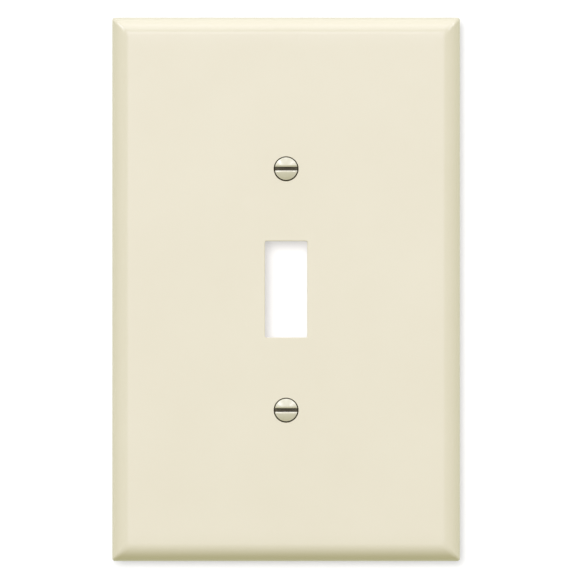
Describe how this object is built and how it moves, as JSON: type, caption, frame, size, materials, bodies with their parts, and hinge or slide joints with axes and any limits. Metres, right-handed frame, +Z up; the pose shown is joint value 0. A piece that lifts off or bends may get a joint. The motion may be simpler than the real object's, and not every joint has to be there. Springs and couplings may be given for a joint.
{
  "type": "toggle switch wall plate",
  "caption": "Oversize wall plate for a toggle switch: hollow-backed ivory plastic with a mitred rounded bevel, an open rectangular toggle slot and captive slotted oval-head screws.",
  "frame": {"origin": "centre of the toggle opening, in the wall plane that the plate's rear rim stands on", "axes": "+Z up along the plate's height, +X to the right of someone facing the plate, -Y out of the wall through the front face"},
  "size_m": [0.087, 0.0135, 0.136],
  "materials": {
    "ivory_thermoplastic": "smooth moulded ivory, soft gloss",
    "ivory_painted_steel": "satin ivory paint on the head, bright zinc plate on the thread",
    "natural_nylon": "natural translucent nylon, matte"
  },
  "bodies": {
    "plate": {"wall_plate": "ivory_thermoplastic"},
    "upper_washer": {"upper_retaining_washer": "natural_nylon"},
    "upper_screw": {"upper_screw": "ivory_painted_steel"},
    "lower_washer": {"lower_retaining_washer": "natural_nylon"},
    "lower_screw": {"lower_screw": "ivory_painted_steel"}
  },
  "joints": [
    {"name": "upper_screw_travel", "type": "slide", "parent": "plate", "child": "upper_washer", "axis": [0, -1, 0], "range_m": [0, 0.00496]},
    {"name": "upper_screw_turn", "type": "hinge", "parent": "upper_washer", "child": "upper_screw", "pos_m": [0, -0.00635, 0.03016], "axis": [0, -1, 0], "range_deg": [0, 2250]},
    {"name": "lower_screw_travel", "type": "slide", "parent": "plate", "child": "lower_washer", "axis": [0, -1, 0], "range_m": [0, 0.00496]},
    {"name": "lower_screw_turn", "type": "hinge", "parent": "lower_washer", "child": "lower_screw", "pos_m": [0, -0.00635, -0.03016], "axis": [0, -1, 0], "range_deg": [0, 2250]}
  ],
  "couplings": [
    {"joint": "upper_screw_turn", "follows": "upper_screw_travel", "rad_per_m": 7915.8},
    {"joint": "lower_screw_turn", "follows": "lower_screw_travel", "rad_per_m": 7915.8}
  ]
}
